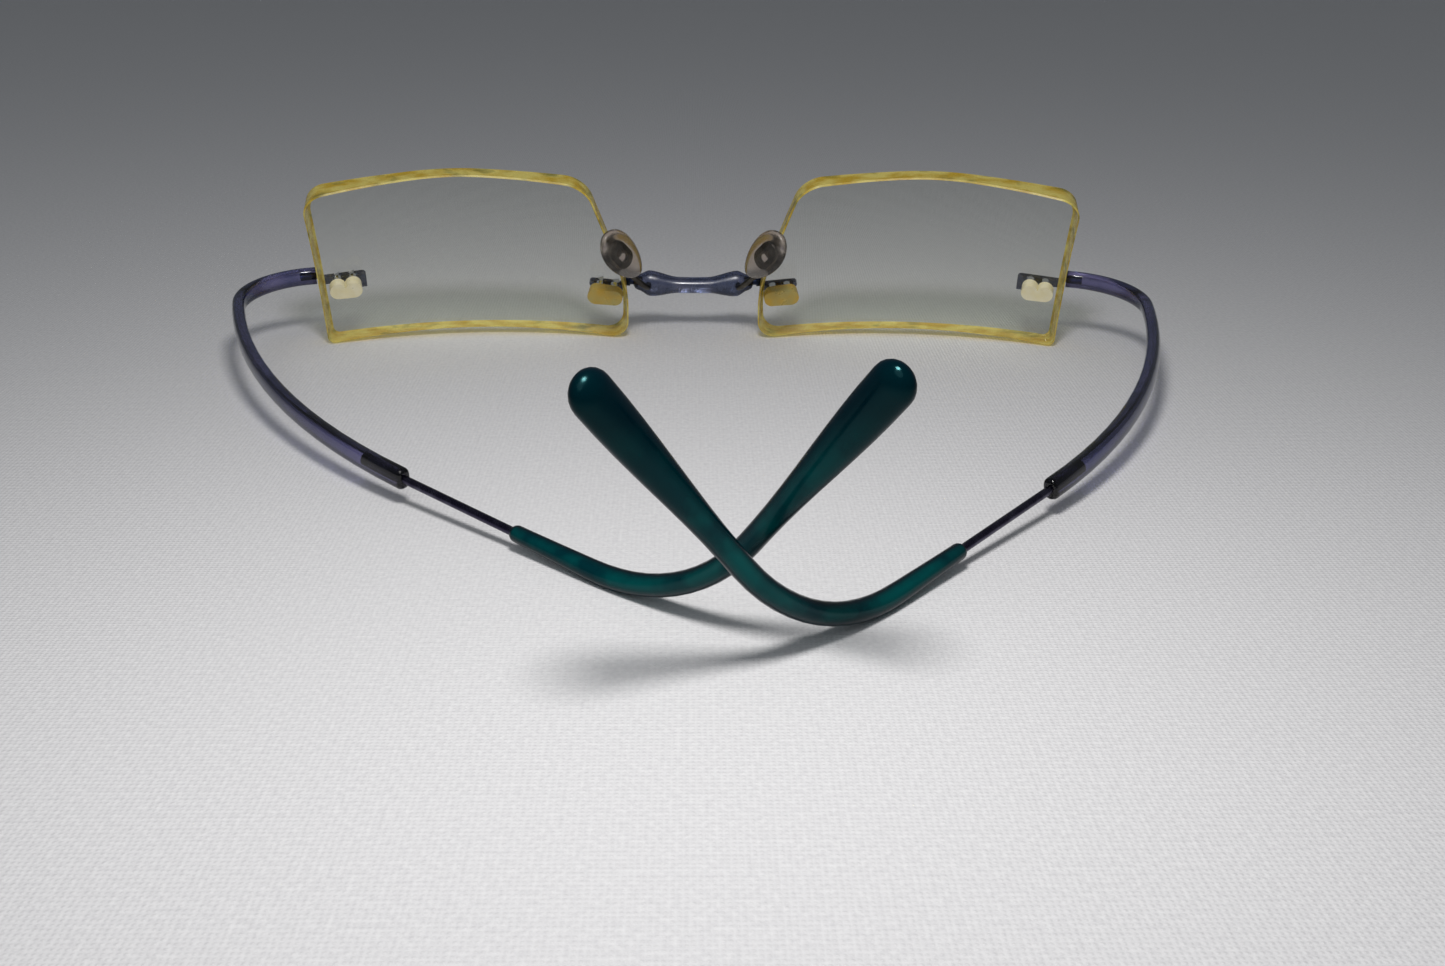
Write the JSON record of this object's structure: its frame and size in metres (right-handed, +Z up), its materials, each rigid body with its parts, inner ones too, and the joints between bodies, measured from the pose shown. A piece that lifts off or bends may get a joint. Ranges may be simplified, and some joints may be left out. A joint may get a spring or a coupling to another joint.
{
  "type": "rimless eyeglasses",
  "caption": "Rimless hingeless eyeglasses with flexible moulded bows, wire temples, rounded ear tips and rocking nose pads, lying upside down at rest.",
  "frame": {"origin": "on the surface that the glasses rest on, under the middle of their outline", "axes": "+Z up as the glasses lie (worn downwards), +Y the way the wearer looks, +X to the wearer's left"},
  "size_m": [0.1351, 0.1222, 0.0316],
  "materials": {
    "lens_clear": "polished, faint grey-green",
    "blue_plastic": "translucent blue-violet moulding, glossy",
    "dark_metal": "dark blue coating, satin",
    "amber_plastic": "translucent amber",
    "cream_plastic": "translucent cream",
    "arm_metal": "satin",
    "dark_core": "matte",
    "pin_metal": "polished",
    "pad_silicone": "clear soft silicone, glossy",
    "wire_metal": "dark coating, polished",
    "teal_plastic": "translucent dark teal, glossy"
  },
  "bodies": {
    "front": {"bridge": "blue_plastic", "lens_left": "lens_clear", "lens_right": "lens_clear", "bridge_clip_left": "dark_metal", "bridge_clip_right": "dark_metal", "bridge_sleeve_left": "amber_plastic", "bridge_sleeve_right": "amber_plastic", "temple_clip_left": "dark_metal", "temple_clip_right": "dark_metal", "temple_sleeve_left": "cream_plastic", "temple_sleeve_right": "cream_plastic", "pad_arm_left": "arm_metal", "pad_arm_right": "arm_metal", "bow_left": "blue_plastic", "bow_right": "blue_plastic"},
    "left_temple": {"temple_wire_left": "wire_metal", "ear_tip_left": "teal_plastic"},
    "right_temple": {"temple_wire_right": "wire_metal", "ear_tip_right": "teal_plastic"},
    "left_nose_pad": {"nose_pad_left": "pad_silicone", "pad_core_left": "dark_core", "pad_pin_left": "pin_metal"},
    "right_nose_pad": {"nose_pad_right": "pad_silicone", "pad_core_right": "dark_core", "pad_pin_right": "pin_metal"}
  },
  "joints": [
    {"name": "left_temple_flex", "type": "hinge", "parent": "front", "child": "left_temple", "pos_m": [0.06503, 0.04965, 0.00994], "axis": [0, 0, 1], "range_deg": [0, 45], "stiffness_Nm_per_rad": 0.05, "deforming": ["bow_left"]},
    {"name": "right_temple_flex", "type": "hinge", "parent": "front", "child": "right_temple", "pos_m": [-0.06487, 0.04949, 0.00989], "axis": [0, 0, 1], "range_deg": [-31.5, 0], "stiffness_Nm_per_rad": 0.05, "deforming": ["bow_right"]},
    {"name": "left_pad_rock", "type": "hinge", "parent": "front", "child": "left_nose_pad", "pos_m": [0.01231, 0.05121, 0.01506], "axis": [-0.4764, 0.4856, 0.733], "range_deg": [-10, 10]},
    {"name": "right_pad_rock", "type": "hinge", "parent": "front", "child": "right_nose_pad", "pos_m": [-0.01231, 0.05121, 0.01506], "axis": [0.4764, 0.4856, 0.733], "range_deg": [-10, 10]}
  ],
  "couplings": [
    {"joint": "right_temple_flex", "follows": "left_temple_flex", "ratio": -0.7}
  ]
}
